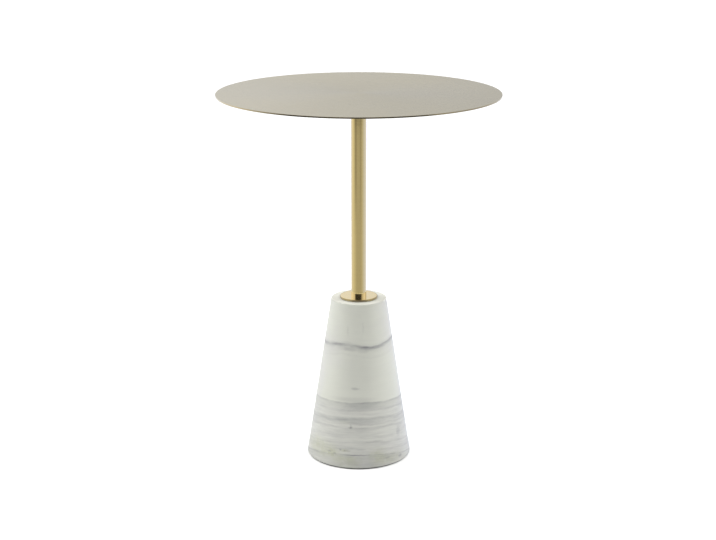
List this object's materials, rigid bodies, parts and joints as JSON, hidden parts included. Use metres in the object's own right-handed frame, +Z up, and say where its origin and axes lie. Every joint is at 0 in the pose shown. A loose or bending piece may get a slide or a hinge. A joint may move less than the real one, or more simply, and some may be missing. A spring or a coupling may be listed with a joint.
{
  "type": "side table",
  "caption": "Round side table: thin brass-finished metal top on a slim tube post, clamped through a collar onto a tall truncated cone of banded marble.",
  "frame": {"origin": "on the floor, under the middle of the table", "axes": "+Z up through the post; the table is round, so +X and +Y are level and pass through two neighbouring mounting screws"},
  "size_m": [0.3999, 0.4, 0.535],
  "materials": {
    "brushed_brass": "brushed round the middle, clear lacquer",
    "satin_brass": "satin, clear lacquer",
    "polished_brass": "polished",
    "marble": "honed, banded grey",
    "felt": "felted",
    "soft_rubber": "matte",
    "zinc_steel": "bright zinc plate"
  },
  "bodies": {
    "root": {"table_top": "brushed_brass", "top_backing_plate": "satin_brass", "post_mounting_plate": "satin_brass", "post_tube": "polished_brass", "collar": "polished_brass", "marble_cone": "marble", "collar_gasket": "soft_rubber", "foot_pad": "felt", "rubber_washer": "soft_rubber", "clamp_washer": "zinc_steel", "tie_rod": "zinc_steel", "tie_rod_nut": "zinc_steel", "tie_rod_spring_washer": "zinc_steel", "post_foot_plug": "zinc_steel", "mounting_screws": "zinc_steel", "mounting_flat_washers": "zinc_steel", "mounting_spring_washers": "zinc_steel"}
  },
  "joints": []
}
